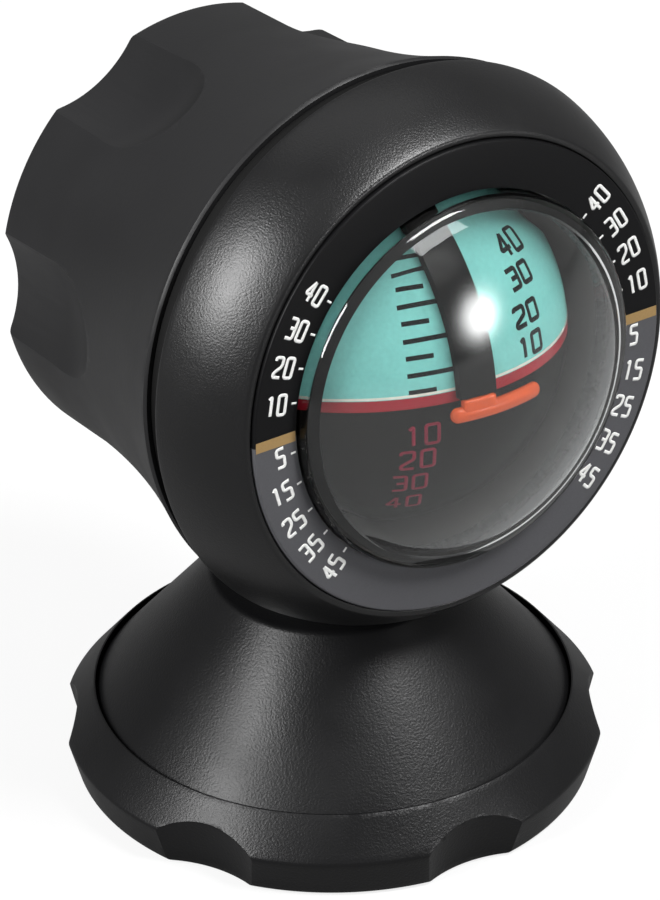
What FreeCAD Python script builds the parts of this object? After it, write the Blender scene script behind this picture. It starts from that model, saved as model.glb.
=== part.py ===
import FreeCAD, Part
import math
import os

# Dashboard slope meter: a ball card in a double gimbal, behind a domed lens, in a housing
# that stands on a conical base and turns on a ball stud.
# Millimetres. +Z is up, -Y is the side that the dial faces, +X is the reader's right.
# The origin lies on the dashboard, in the middle of the base.
# The housing's pieces are drawn about the roll axle: local +Z points out of the dial,
# local +Y up and local +X to the reader's right, with the ball's centre at the origin.
# A step, a taper or an inset is the difference between two diameters.

# Foot: pad, scalloped ring and closing plate
base_diameter = 69.4
foot_taper = 3.0
pad_inset = 3.0
pad_thickness = 1.2
foot_gap = 0.4
ring_height = 10.6
ring_shoulder_height = 5.7
ring_shoulder_round = 0.5
ring_top_taper = 8.0
ring_rim_step = 0.4
ring_ledge_step = 6.6
ring_ledge_height = 8.8
ring_ledge_thickness = 1.8
ring_skirt_step = 2.0
base_scallops = 6
base_scallop_phase = 25.5
base_scallop_radius = 16.0
base_scallop_depth = 1.5
base_scallop_lean = 10.5
plate_thickness = 2.2
plate_rim_wall = 1.8
pillar_wall = 2.4

# Cone with the socket tube inside, and its screws
cone_foot_step = 1.6
cone_top_diameter = 31.06
cone_height = 27.6
cone_wall = 2.0
cone_top_wall = 2.4
cone_edge_round = 1.2
socket_tube_wall = 3.6
socket_tube_length = 17.1
socket_recess_depth = 6.0
socket_recess_diameter = 24.0
base_screw_inset = 17.0
base_screw_count = 3
base_screw_phase = 30.0
base_screw_radius = 1.2
base_screw_head_radius = 2.3
base_screw_head_depth = 1.3
base_screw_length = 9.0
base_boss_radius = 2.9

# Ball joint under the housing
joint_drop = 7.6
joint_ball_radius = 7.5
joint_fit = 0.06
mouth_angle = 48.0
socket_nose_wall = 1.4
socket_ring_diameter = 20.2
socket_ring_depth = 3.6
seat_drop = 2.6
seat_height = 6.1
seat_drain_radius = 2.5
spring_plate = 0.6
spring_cone = 0.45
spring_diameter = 18.0
spring_bore = 10.0
cap_thickness = 0.9
cap_reach_angle = 62.0
cap_slot_angle = 13.0
neck_radius = 3.2
neck_room = 0.5
shank_radius = 2.2
shank_length = 6.3
collar_radius = 5.6
nut_across_flats = 7.0
nut_thickness = 1.6
nut_sides = 6
nut_seat_radius = 5.0
nut_seat_wall = 0.8
nut_seat_depth = 4.65
rest_tilt = 4.16
rest_roll = 1.99
neck_stand = 8.88
neck_set_back = 12.73

# Ball card
card_inset = 14.2
card_wall = 1.2
card_lean = 3.4
band_height = 1.4
band_rim_height = 4.4
band_rim_depth = 1.6
ball_axle_radius = 0.6
ball_weight_depth = 5.4

# Roll gimbal around the ball
frame_gap = 0.6
frame_thickness = 1.0
frame_ring_width = 4.4
frame_rib_width = 4.0
frame_hub_radius = 5.0
pivot_bush_radius = 1.5
pivot_bush_proud = 0.2
roll_axle_radius = 1.5
axle_end = 1.4
clip_groove_depth = 0.3
clip_thickness = 0.6
clip_radius = 3.2
clip_mouth = 1.6
arm_width = 4.8
arm_offset = 2.8
arm_root = 2.8
pointer_length = 13.0
pointer_height = 2.0
pointer_drop = 0.5
pointer_stem_height = 1.0
pointer_stem_width = 4.4
pointer_proud = 0.5
roll_weight_width = 18.0
roll_weight_length = 8.0
roll_weight_thickness = 1.2

# Bowl, lens and printed ring
bowl_gap = 0.6
bowl_wall = 1.3
bowl_flange_thickness = 1.5
bush_radius = 3.0
bush_length = 6.2
bowl_boss_wall = 2.0
gasket_inset = 5.4
gasket_thickness = 1.0
card_proud = 5.7
dial_visible_step = 1.0
dial_band_step = 12.2
dial_thickness = 1.4
dial_flange = 0.4
dial_edge_round = 0.2
lens_flange_thickness = 1.5
lens_bore_step = 0.4
lens_wall = 1.4
lens_stand = 1.2
lens_shoulder_inset = 0.7
lens_shoulder_rise = 1.33
lens_dome_height = 7.27

# Bezel and the chassis ring behind it
bezel_diameter = 73.0
bezel_depth = 12.16
bezel_front_step = 10.4
bezel_lip_thickness = 0.5
bezel_bulge = 0.8
bezel_wall = 1.8
bezel_tube_wall = 1.4
bezel_edge_round = 0.7
bezel_lip_round = 0.3
bezel_screw_inset = 7.2
bezel_screw_phase = 30.0
bezel_screw_radius = 0.8
bezel_screw_head_radius = 1.3
bezel_screw_head_depth = 1.0
bezel_screw_length = 5.5
bezel_boss_radius = 1.9
stack_step = 11.2
groove_width = 2.89
web_step = 3.4
web_bore_gap = 0.4
chassis_tube_wall = 2.0
spigot_length = 4.0
spigot_wall = 1.6

# Rear shell
shell_front_step = 1.3
shell_flare_step = 7.5
shell_flare_share = 0.4184
shell_waist_step = 12.5
shell_waist_height = 10.34
shell_rear_step = 12.9
shell_rear_room = 12.24
shell_wall = 2.2
shell_lip_bevel = 0.4
shell_step_depth = 20.0
shell_step_length = 4.0
shell_rear_bore_step = 8.4
shell_edge_round = 0.6
rear_dish_depth = 0.8
rear_dish_step = 8.8
rear_scallops = 6
rear_scallop_radius = 15.0
rear_scallop_depth = 2.6
rear_scallop_length = 11.3
shell_screw_inset = 26.8
shell_screw_phase = 90.0
shell_screw_radius = 1.2
shell_screw_head_radius = 2.2
shell_screw_head_depth = 1.3
shell_post_radius = 3.2
shell_post_length = 4.6
shell_screw_grip = 5.0
housing_screws = 3

# Clearances, and the length by which a cutter passes what it cuts
slip_gap = 0.1
running_gap = 0.3
screw_gap = 0.05
meeting_gap = 0.0001
overrun = 2.0

full_turn = 360
half_turn = full_turn / 2
quarter_turn = full_turn / 4
half_share = 0.5

V = FreeCAD.Vector
origin = V(0, 0, 0)
right = V(1, 0, 0)
upright = V(0, 1, 0)
forward = V(0, 0, 1)


def half(size):
    """Half of a diameter, a width or an angle."""
    return size * half_share


def on_sphere(radius, angle, centre=0):
    """(radius, height) of a sphere's point at that angle, in degrees, from the Z axis."""
    turn = math.radians(angle)
    return radius * math.sin(turn), centre + radius * math.cos(turn)


def sphere_arc(radius, start, end, centre=0):
    """Middle and end of an arc on a sphere, between two angles from the Z axis."""
    return on_sphere(radius, half(start + end), centre), on_sphere(radius, end, centre)


def angle_at(radius, height):
    """The angle from the Z axis at which a sphere is that high above its centre."""
    return math.degrees(math.acos(height / radius))


def rounded(before, corner, after, radius):
    """A tangent arc in an outline's corner: its start, then its middle and end."""
    to_before = V(before[0] - corner[0], before[1] - corner[1], 0).normalize()
    to_after = V(after[0] - corner[0], after[1] - corner[1], 0).normalize()
    angle = half(to_before.getAngle(to_after))
    run = radius / math.tan(angle)
    inward = (to_before + to_after).normalize()
    reach = radius / math.sin(angle) - radius
    start = (corner[0] + to_before.x * run, corner[1] + to_before.y * run)
    middle = (corner[0] + inward.x * reach, corner[1] + inward.y * reach)
    end = (corner[0] + to_after.x * run, corner[1] + to_after.y * run)
    return [start, (middle, end)]


def turned(points):
    """A solid of revolution about Z. A pair is a corner; two pairs are an arc's middle and end."""
    edges = []
    here = V(points[0][0], 0, points[0][1])
    for step in points[1:]:
        if isinstance(step[0], tuple):
            middle = V(step[0][0], 0, step[0][1])
            end = V(step[1][0], 0, step[1][1])
            edges.append(Part.Arc(here, middle, end).toShape())
        else:
            end = V(step[0], 0, step[1])
            edges.append(Part.LineSegment(here, end).toShape())
        here = end
    start = V(points[0][0], 0, points[0][1])
    if not here.isEqual(start, meeting_gap):
        edges.append(Part.LineSegment(here, start).toShape())
    solid = Part.Face(Part.Wire(edges)).revolve(origin, forward, full_turn)
    if solid.Volume < 0:
        solid.reverse()
    return solid


def rod(radius, bottom, top, x=0, y=0):
    """A cylinder along Z between two heights."""
    return Part.makeCylinder(radius, top - bottom, V(x, y, bottom), forward)


def tube(outer, inner, bottom, top):
    """A hollow cylinder along Z."""
    return turned([(inner, bottom), (outer, bottom), (outer, top), (inner, top)])


def block(low, high):
    """A box between two opposite corners."""
    size = high - low
    return Part.makeBox(size.x, size.y, size.z, low)


def round_places(count, circle, phase):
    """Places spread evenly on a circle around Z."""
    places = []
    for i in range(count):
        turn = math.radians(phase + i * full_turn / count)
        places.append((half(circle) * math.cos(turn), half(circle) * math.sin(turn)))
    return places


def screw(radius, head_radius, head_depth, length, seat, x, y):
    """A screw that points along +Z: its head ends at the seat, and its shank goes on."""
    head = rod(head_radius, seat - head_depth, seat, x, y)
    return head.fuse(rod(radius, seat, seat + length, x, y)).removeSplitter()


# Diameters that follow the base ring, the bezel or the shell

foot_diameter = base_diameter - foot_taper
ring_top_diameter = base_diameter - ring_top_taper
ring_bore_diameter = ring_top_diameter - ring_rim_step
ring_ledge_diameter = ring_bore_diameter - ring_ledge_step
ring_inner_diameter = ring_bore_diameter - ring_skirt_step
cone_foot_diameter = ring_bore_diameter - cone_foot_step
pad_diameter = ring_inner_diameter - pad_inset
base_screw_circle = ring_inner_diameter - base_screw_inset

bezel_front_diameter = bezel_diameter - bezel_front_step
bezel_screw_circle = bezel_diameter - bezel_screw_inset
web_diameter = bezel_diameter - web_step
stack_diameter = bezel_diameter - stack_step
bezel_bore_diameter = stack_diameter + slip_gap + slip_gap
gasket_diameter = stack_diameter - gasket_inset
card_diameter = stack_diameter - card_inset
dial_visible_diameter = stack_diameter - dial_visible_step
dial_inner_diameter = dial_visible_diameter - dial_band_step
lens_diameter = dial_inner_diameter - lens_bore_step

shell_front_diameter = bezel_diameter - shell_front_step
shell_flare_diameter = shell_front_diameter - shell_flare_step
shell_waist_diameter = shell_front_diameter - shell_waist_step
shell_rear_diameter = shell_front_diameter - shell_rear_step
shell_rear_bore = shell_rear_diameter - shell_rear_bore_step
rear_dish_diameter = shell_rear_diameter - rear_dish_step
shell_screw_circle = shell_rear_diameter - shell_screw_inset
head_axis_height = half(shell_front_diameter) + neck_stand

# Places that several pieces share

plate_top = pad_thickness + plate_thickness
ledge_bottom = ring_ledge_height - ring_ledge_thickness
socket_bore = half(socket_ring_diameter) + slip_gap
recess_floor = cone_height - socket_recess_depth
joint_height = cone_height - joint_drop
seat_bottom = joint_height - seat_drop - seat_height
spring_stack = (spring_plate + spring_cone) + (spring_plate + spring_cone) + slip_gap
pillar_top = seat_bottom - slip_gap - spring_stack
base_screw_seat = pad_thickness + base_screw_head_depth + slip_gap

socket_radius = joint_ball_radius + joint_fit
nose_radius = socket_radius + socket_nose_wall
cap_inner = nose_radius + running_gap
cap_outer = cap_inner + cap_thickness
neck_length = cap_outer + neck_room
nut_seat = neck_length + nut_seat_depth

card_radius = half(card_diameter)
frame_inner = card_radius + frame_gap
frame_outer = frame_inner + frame_thickness
bowl_inner = frame_outer + bowl_gap
bowl_outer = bowl_inner + bowl_wall
stack_radius = half(stack_diameter)
dial_forward = card_radius - card_proud
dial_back = dial_forward - dial_thickness
lip_back = dial_back + dial_flange
bowl_top = dial_back - lens_flange_thickness
bowl_flange_back = bowl_top - bowl_flange_thickness
bush_back = -bowl_inner - bush_length
bezel_back = dial_forward - bezel_depth
shell_front = bezel_back - groove_width
shell_rear = -bowl_inner - shell_rear_room
shell_waist = shell_rear + shell_waist_height
shell_flare = shell_front - (shell_front - shell_waist) * shell_flare_share
rear_face = shell_rear + rear_dish_depth
rear_wall_front = rear_face + shell_wall
post_front = rear_wall_front + shell_post_length
shell_screw_seat = rear_face + shell_screw_head_depth + slip_gap

joint_centre = V(0, 0, joint_height)
joint_in_head = V(0, -head_axis_height, shell_front - neck_set_back)
stand_up = FreeCAD.Rotation(right, quarter_turn)
tilt_turn = FreeCAD.Rotation(right, -rest_tilt)
roll_turn = FreeCAD.Rotation(forward, -rest_roll)
head_turn = tilt_turn * stand_up * roll_turn
head_place = FreeCAD.Placement(joint_centre, head_turn) * FreeCAD.Placement(
    -joint_in_head, FreeCAD.Rotation())
card_place = head_place * FreeCAD.Placement(origin, FreeCAD.Rotation(right, -card_lean))
cap_place = FreeCAD.Placement(joint_centre, tilt_turn)


def adhesive_pad():
    """Foam pad that sticks the base to the dashboard."""
    return rod(half(pad_diameter), 0, pad_thickness)


def base_ring():
    """Scalloped foot ring with the ledge that the cone and the plate clamp."""
    inner = half(ring_inner_diameter)
    foot = (half(foot_diameter), foot_gap)
    shoulder = (half(base_diameter), ring_shoulder_height)
    slope_top = (half(ring_top_diameter), ring_height)
    ring = turned([
        (inner, foot_gap), foot, *rounded(foot, shoulder, slope_top, ring_shoulder_round),
        slope_top, (half(ring_bore_diameter), ring_height),
        (half(ring_bore_diameter), ring_ledge_height),
        (half(ring_ledge_diameter), ring_ledge_height),
        (half(ring_ledge_diameter), ledge_bottom), (inner, ledge_bottom),
    ])
    reach = half(foot_diameter) - base_scallop_depth + base_scallop_radius
    for x, y in round_places(base_scallops, reach + reach, base_scallop_phase):
        scoop = rod(base_scallop_radius, -base_scallop_radius,
                    ring_height + base_scallop_radius, x, y)
        scoop.rotate(V(x, y, foot_gap), V(-y, x, 0), base_scallop_lean)
        ring = ring.cut(scoop)
    return ring


def base_plate():
    """Closing plate: its rim clamps the ring's ledge, its pillar carries the disc spring."""
    rim = half(ring_inner_diameter) - slip_gap
    pillar = half(spring_diameter) + slip_gap
    plate = turned([
        (0, pad_thickness), (rim, pad_thickness), (rim, ledge_bottom),
        (rim - plate_rim_wall, ledge_bottom), (rim - plate_rim_wall, plate_top),
        (pillar, plate_top), (pillar, pillar_top),
        (pillar - pillar_wall, pillar_top), (pillar - pillar_wall, plate_top),
        (0, plate_top),
    ])
    for x, y in round_places(base_screw_count, base_screw_circle, base_screw_phase):
        plate = plate.cut(rod(base_screw_head_radius + slip_gap, 0, base_screw_seat, x, y))
        plate = plate.cut(rod(base_screw_radius + screw_gap, 0, plate_top + overrun, x, y))
    return plate


def base_cone():
    """Conical cover, with the socket tube under its top and three screw bosses."""
    top = half(cone_top_diameter)
    lean = (half(cone_foot_diameter) - top) / (cone_height - ring_height)
    across = cone_wall * math.hypot(1, lean)
    foot = half(ring_bore_diameter) - slip_gap
    foot_top = cone_height - (foot - top) / lean
    under_top = cone_height - cone_top_wall
    tube_outer = socket_bore + socket_tube_wall
    tube_bottom = cone_height - socket_tube_length
    recess = half(socket_recess_diameter)

    def inside(height):
        return top + (cone_height - height) * lean - across

    crown = [
        *rounded((0, cone_height), (top, cone_height), (foot, foot_top), cone_edge_round),
        (foot, foot_top), (foot, ring_ledge_height),
    ]
    cone = turned([
        (recess, cone_height), *crown,
        (inside(ring_ledge_height), ring_ledge_height), (inside(under_top), under_top),
        (tube_outer, under_top), (tube_outer, tube_bottom), (socket_bore, tube_bottom),
        (socket_bore, recess_floor), (recess, recess_floor),
    ])
    envelope = turned([(0, cone_height), *crown, (foot, plate_top), (0, plate_top)])
    places = round_places(base_screw_count, base_screw_circle, base_screw_phase)
    for x, y in places:
        cone = cone.fuse(rod(base_boss_radius, plate_top, cone_height, x, y).common(envelope))
    hole_top = base_screw_seat + base_screw_length + slip_gap
    for x, y in places:
        cone = cone.cut(rod(base_screw_radius + screw_gap, 0, hole_top, x, y))
    return cone.removeSplitter()


def base_screws():
    """Three screws from the plate's underside into the cone's bosses."""
    return Part.makeCompound([
        screw(base_screw_radius, base_screw_head_radius, base_screw_head_depth,
              base_screw_length, base_screw_seat, x, y)
        for x, y in round_places(base_screw_count, base_screw_circle, base_screw_phase)
    ])


def disc_spring():
    """Two coned spring washers, back to back, that press the seat cup up."""
    bore = half(spring_bore)
    rim = half(spring_diameter)
    low = pillar_top
    middle = low + spring_plate + spring_cone + slip_gap
    lower = turned([
        (bore, low + spring_cone), (rim, low), (rim, low + spring_plate),
        (bore, low + spring_cone + spring_plate),
    ])
    upper = turned([
        (bore, middle), (rim, middle + spring_cone),
        (rim, middle + spring_cone + spring_plate), (bore, middle + spring_plate),
    ])
    return Part.makeCompound([lower, upper])


def socket_ring():
    """Threaded ring over the joint's ball, with a round nose that the dust cap slides on."""
    start = on_sphere(socket_radius, mouth_angle, joint_height)
    nose_end = angle_at(nose_radius, recess_floor - joint_height)
    bottom = recess_floor - socket_ring_depth
    outer = half(socket_ring_diameter)
    ring = turned([
        start, on_sphere(nose_radius, mouth_angle, joint_height),
        sphere_arc(nose_radius, mouth_angle, nose_end, joint_height),
        (outer, recess_floor), (outer, bottom), (start[0], bottom),
    ])
    ring = ring.cut(Part.makeSphere(socket_radius, joint_centre))
    return ring.cut(rod(socket_radius, bottom - overrun, joint_height))


def seat_cup():
    """Lower seat of the ball, pressed up by the disc spring."""
    outer = socket_bore - running_gap
    top = joint_height - seat_drop
    start = angle_at(socket_radius, -seat_drop)
    drain_height = math.sqrt(socket_radius ** 2 - seat_drain_radius ** 2)
    end = angle_at(socket_radius, -drain_height)
    return turned([
        (seat_drain_radius, seat_bottom), (outer, seat_bottom), (outer, top),
        on_sphere(socket_radius, start, joint_height),
        sphere_arc(socket_radius, start, end, joint_height),
    ])


def dust_cap():
    """Thin cap that rides with the neck; its slot lets the neck lean sideways."""
    cap = turned([
        (0, cap_inner), (0, cap_outer), sphere_arc(cap_outer, 0, cap_reach_angle),
        on_sphere(cap_inner, cap_reach_angle), sphere_arc(cap_inner, cap_reach_angle, 0),
    ])
    slot_radius = neck_radius + running_gap
    reach = on_sphere(cap_outer, cap_slot_angle)[0]
    slot = block(V(-reach, -slot_radius, 0), V(reach, slot_radius, cap_outer + overrun))
    for x in (-reach, reach):
        slot = slot.fuse(rod(slot_radius, 0, cap_outer + overrun, x))
    return cap.cut(slot)


def neck_rod(radius, low, high):
    """A cylinder along the neck, between two distances from the joint's centre."""
    return Part.makeCylinder(radius, high - low, joint_in_head + upright * low, upright)


def ball_stud():
    """Ball, neck and threaded shank in one turned piece."""
    stud = Part.makeSphere(joint_ball_radius, joint_in_head)
    stud = stud.fuse(neck_rod(neck_radius, 0, neck_length))
    stud = stud.fuse(neck_rod(shank_radius, 0, neck_length + shank_length))
    return stud.removeSplitter()


def neck_collar():
    """Saddle between the neck's shoulder and the round underside of the housing."""
    collar = neck_rod(collar_radius, neck_length, nut_seat)
    collar = collar.cut(shell_envelope())
    return collar.cut(neck_rod(shank_radius + screw_gap, 0, head_axis_height))


def stud_nut():
    """Thin hexagon nut on the shank, inside the housing."""
    corner = half(nut_across_flats) / math.cos(math.radians(half(full_turn / nut_sides)))
    corners = []
    for i in range(nut_sides + 1):
        turn = math.radians(i * full_turn / nut_sides)
        across = V(corner * math.cos(turn), nut_seat, corner * math.sin(turn))
        corners.append(joint_in_head + across)
    nut = Part.Face(Part.makePolygon(corners)).extrude(upright * nut_thickness)
    return nut.cut(neck_rod(shank_radius + screw_gap, 0, head_axis_height))


def flare_circle():
    """Centre and radius of the arc that flares the shell, from its three named diameters."""
    spots = [
        V(half(shell_front_diameter), shell_front, 0),
        V(half(shell_flare_diameter), shell_flare, 0),
        V(half(shell_waist_diameter), shell_waist, 0),
    ]
    circle = Part.Arc(*spots).toShape().Curve
    return circle.Center, circle.Radius


def shell_radius(height, inset=0):
    """The flared shell's radius at a height, or that of a surface inset from it."""
    centre, radius = flare_circle()
    return centre.x - math.sqrt((radius + inset) ** 2 - (height - centre.y) ** 2)


def shell_outline():
    """The outside of the rear shell, from its front lip to the edge of the rear face."""
    lip = half(shell_front_diameter) - shell_lip_bevel
    low = shell_front - shell_lip_bevel
    middle = half(low + shell_waist)
    rear = half(shell_rear_diameter)
    return [
        (lip, shell_front), (shell_radius(low), low),
        ((shell_radius(middle), middle), (shell_radius(shell_waist), shell_waist)),
        *rounded((shell_radius(shell_waist), shell_waist), (rear, shell_rear),
                 (0, shell_rear), shell_edge_round),
    ]


def shell_envelope():
    """The space that the rear shell takes up, filled."""
    return turned([(0, shell_front), *shell_outline(), (0, shell_rear)])


def rear_shell():
    """Housing shell with six finger scallops, three screw posts and the neck's seat."""
    dish = half(rear_dish_diameter)
    bore = half(shell_rear_bore)
    step = shell_front - shell_step_depth
    middle = half(step + shell_front)
    shell = turned([
        *shell_outline(), (dish, shell_rear), (dish - rear_dish_depth, rear_face),
        (0, rear_face), (0, rear_wall_front), (bore, rear_wall_front),
        (bore, step - shell_step_length), (shell_radius(step, shell_wall), step),
        ((shell_radius(middle, shell_wall), middle),
         (shell_radius(shell_front, shell_wall), shell_front)),
    ])
    seat = neck_rod(nut_seat_radius + nut_seat_wall, neck_length, nut_seat)
    shell = shell.fuse(seat.common(shell_envelope()))
    shell = shell.cut(neck_rod(nut_seat_radius, nut_seat, nut_seat + nut_seat_depth))
    shell = shell.cut(neck_rod(shank_radius + screw_gap, 0, nut_seat + overrun))
    places = round_places(housing_screws, shell_screw_circle, shell_screw_phase)
    for x, y in places:
        shell = shell.fuse(rod(shell_post_radius, rear_face, post_front, x, y))
    for x, y in places:
        head_room = shell_screw_head_radius + slip_gap
        shell = shell.cut(rod(head_room, shell_rear - overrun, shell_screw_seat, x, y))
        shell = shell.cut(rod(shell_screw_radius + screw_gap, shell_rear, post_front, x, y))
    reach = half(shell_rear_diameter) - rear_scallop_depth + rear_scallop_radius
    end = shell_rear + rear_scallop_length
    for x, y in round_places(rear_scallops, reach + reach, 0):
        scoop = rod(rear_scallop_radius, shell_rear - overrun, end, x, y)
        scoop = scoop.fuse(Part.makeSphere(rear_scallop_radius, V(x, y, end)))
        shell = shell.cut(scoop)
    return shell.removeSplitter()


def shell_screws():
    """Three screws from the rear face through the shell's posts into the bowl's ears."""
    length = post_front - shell_screw_seat + shell_screw_grip
    return Part.makeCompound([
        screw(shell_screw_radius, shell_screw_head_radius, shell_screw_head_depth,
              length, shell_screw_seat, x, y)
        for x, y in round_places(housing_screws, shell_screw_circle, shell_screw_phase)
    ])


def chassis_ring():
    """Ring that joins bezel, bowl and shell; its web's edge is the groove behind the bezel."""
    front = stack_radius - chassis_tube_wall
    rear = stack_radius - spigot_wall
    web = half(web_diameter)
    bore = bowl_outer + web_bore_gap
    ring = turned([
        (bore, shell_front), (rear, shell_front), (rear, shell_front - spigot_length),
        (stack_radius, shell_front - spigot_length), (stack_radius, shell_front),
        (web, shell_front), (web, bezel_back), (stack_radius, bezel_back),
        (stack_radius, bowl_flange_back), (front, bowl_flange_back),
        (front, bezel_back), (bore, bezel_back),
    ])
    head_room = shell_front + bezel_screw_head_depth + slip_gap
    for x, y in round_places(housing_screws, bezel_screw_circle, bezel_screw_phase):
        ring = ring.cut(rod(bezel_screw_head_radius + slip_gap, shell_front, head_room, x, y))
        ring = ring.cut(rod(bezel_screw_radius + screw_gap, shell_front, bezel_back, x, y))
    return ring


def bezel():
    """Bulged front ring: a lip over the printed ring, a bore for the stack, three bosses."""
    outer = half(bezel_diameter)
    top = lip_back + bezel_lip_thickness
    nose = half(bezel_front_diameter)
    lip = half(dial_visible_diameter) + slip_gap
    bore = half(bezel_bore_diameter)
    back = (outer, bezel_back)
    front = (nose, top)
    middle = (half(outer + nose) + bezel_bulge, half(bezel_back + top))
    front_round = rounded(middle, front, (lip, top), bezel_lip_round)
    blank = turned([
        (bore, bezel_back), *rounded((bore, bezel_back), back, middle, bezel_edge_round),
        (middle, front_round[0]), front_round[1],
        (lip, top), (lip, lip_back), (bore, lip_back),
    ])
    lean = (outer - nose) / (top - bezel_back)
    inside = outer - bezel_wall * math.hypot(1, lean)
    tube_outer = bore + bezel_tube_wall
    depth = (inside - tube_outer) / lean
    pocket = turned([
        (tube_outer, bezel_back - overrun), (inside + overrun * lean, bezel_back - overrun),
        (tube_outer, bezel_back + depth),
    ])
    ring = blank.cut(pocket)
    places = round_places(housing_screws, bezel_screw_circle, bezel_screw_phase)
    for x, y in places:
        boss = rod(bezel_boss_radius, bezel_back, bezel_back + depth, x, y)
        ring = ring.fuse(boss.common(blank))
    hole_top = shell_front + bezel_screw_head_depth + bezel_screw_length + slip_gap + slip_gap
    for x, y in places:
        ring = ring.cut(rod(bezel_screw_radius + screw_gap, bezel_back, hole_top, x, y))
    return ring.removeSplitter()


def bezel_screws():
    """Three screws, sunk in the chassis ring's web, that hold the bezel."""
    seat = shell_front + bezel_screw_head_depth + slip_gap
    return Part.makeCompound([
        screw(bezel_screw_radius, bezel_screw_head_radius, bezel_screw_head_depth,
              bezel_screw_length, seat, x, y)
        for x, y in round_places(housing_screws, bezel_screw_circle, bezel_screw_phase)
    ])


def dial_ring():
    """Ring that carries the roll scale; its flange lies under the bezel's lip."""
    inner = half(dial_inner_diameter)
    outer = half(dial_visible_diameter)
    corner = (outer, dial_forward)
    return turned([
        (inner, dial_back), (stack_radius, dial_back), (stack_radius, lip_back),
        (outer, lip_back),
        *rounded((outer, lip_back), corner, (inner, dial_forward), dial_edge_round),
        (inner, dial_forward),
    ])


def lens():
    """Clear moulded cover: flange, short wall, rounded shoulder and shallow dome."""
    outer = half(lens_diameter)
    inner = outer - lens_wall
    shoulder = outer - lens_shoulder_inset
    rim = dial_forward + lens_stand
    low = rim + lens_shoulder_rise
    dome = half((shoulder ** 2 + lens_dome_height ** 2) / lens_dome_height)
    centre = low + lens_dome_height - dome
    edge = angle_at(dome, low - centre)
    inner_dome = dome - lens_wall
    inner_edge = math.degrees(math.asin((inner - lens_shoulder_inset) / inner_dome))
    inner_low = on_sphere(inner_dome, inner_edge, centre)
    arc_share = math.sqrt(half_share)
    bulge = (shoulder + lens_shoulder_inset * arc_share,
             rim + lens_shoulder_rise * arc_share)
    return turned([
        (0, centre + inner_dome), (0, centre + dome), sphere_arc(dome, 0, edge, centre),
        (bulge, (outer, rim)), (outer, dial_back), (stack_radius, dial_back),
        (stack_radius, bowl_top), (inner, bowl_top),
        (inner, inner_low[1] - lens_shoulder_rise), inner_low,
        sphere_arc(inner_dome, inner_edge, 0, centre),
    ])


def lens_gasket():
    """Round-section sealing ring between the lens flange and the bowl."""
    radius = half(gasket_thickness)
    return Part.makeTorus(half(gasket_diameter), radius, V(0, 0, bowl_top - radius), forward)


def capsule_bowl():
    """Bowl that the card turns in, with the axle's bearing boss and three screw ears."""
    hole = bush_radius + screw_gap
    boss = bush_radius + bowl_boss_wall
    boss_front = -math.sqrt(bowl_outer ** 2 - boss ** 2)
    hole_front = -math.sqrt(bowl_inner ** 2 - hole ** 2)
    bowl = turned([
        (hole, bush_back), (boss, bush_back), (boss, boss_front),
        sphere_arc(bowl_outer, angle_at(bowl_outer, boss_front), quarter_turn),
        (bowl_outer, bowl_flange_back), (stack_radius, bowl_flange_back),
        (stack_radius, bowl_top), (bowl_inner, bowl_top), (bowl_inner, 0),
        sphere_arc(bowl_inner, quarter_turn, angle_at(bowl_inner, hole_front)),
    ])
    groove = half(gasket_thickness) + screw_gap
    middle = half(gasket_diameter)
    bowl = bowl.cut(tube(middle + groove, middle - groove,
                         bowl_top - gasket_thickness - screw_gap, bowl_top))
    ear_hole = shell_screw_radius + screw_gap
    hole_end = post_front + shell_screw_grip + slip_gap
    for x, y in round_places(housing_screws, shell_screw_circle, shell_screw_phase):
        ear = rod(shell_post_radius, post_front, -half(bowl_outer), x, y)
        bowl = bowl.fuse(ear.cut(Part.makeSphere(bowl_outer - half(bowl_wall))))
        bowl = bowl.cut(rod(ear_hole, post_front, hole_end, x, y))
    return bowl.removeSplitter()


def roll_bush():
    """Bearing bush of the roll axle, pressed into the bowl's boss."""
    front = -math.sqrt(bowl_inner ** 2 - bush_radius ** 2)
    return tube(bush_radius, roll_axle_radius + screw_gap, bush_back, front)


def roll_axle():
    """Fore and aft axle, fixed in the frame's hub, with a groove for its clip."""
    clip_front = bush_back - running_gap
    clip_back = clip_front - clip_thickness
    neck = roll_axle_radius - clip_groove_depth
    return turned([
        (0, clip_back - axle_end), (roll_axle_radius, clip_back - axle_end),
        (roll_axle_radius, clip_back), (neck, clip_back), (neck, clip_front),
        (roll_axle_radius, clip_front), (roll_axle_radius, -frame_inner), (0, -frame_inner),
    ])


def axle_clip():
    """Open spring clip in the axle's groove, behind the bush."""
    front = bush_back - running_gap - half(slip_gap)
    neck = roll_axle_radius - clip_groove_depth + screw_gap
    clip = tube(clip_radius, neck, front - clip_thickness + slip_gap, front)
    mouth = half(clip_mouth)
    low = V(-mouth, 0, front - clip_thickness - overrun)
    return clip.cut(block(low, V(mouth, clip_radius + overrun, front + overrun)))


def frame_skin(thickness=frame_thickness):
    """The thin round shell that the frame and the arm are cut from."""
    return Part.makeSphere(frame_inner + thickness).cut(Part.makeSphere(frame_inner))


def arm_block(rear, low, width=arm_width):
    """The straight band that the pointer arm fills, from its root to its lower end."""
    far = frame_outer + overrun
    return block(V(-arm_offset - half(width), low, rear),
                 V(half(width) - arm_offset, far, far))


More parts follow.
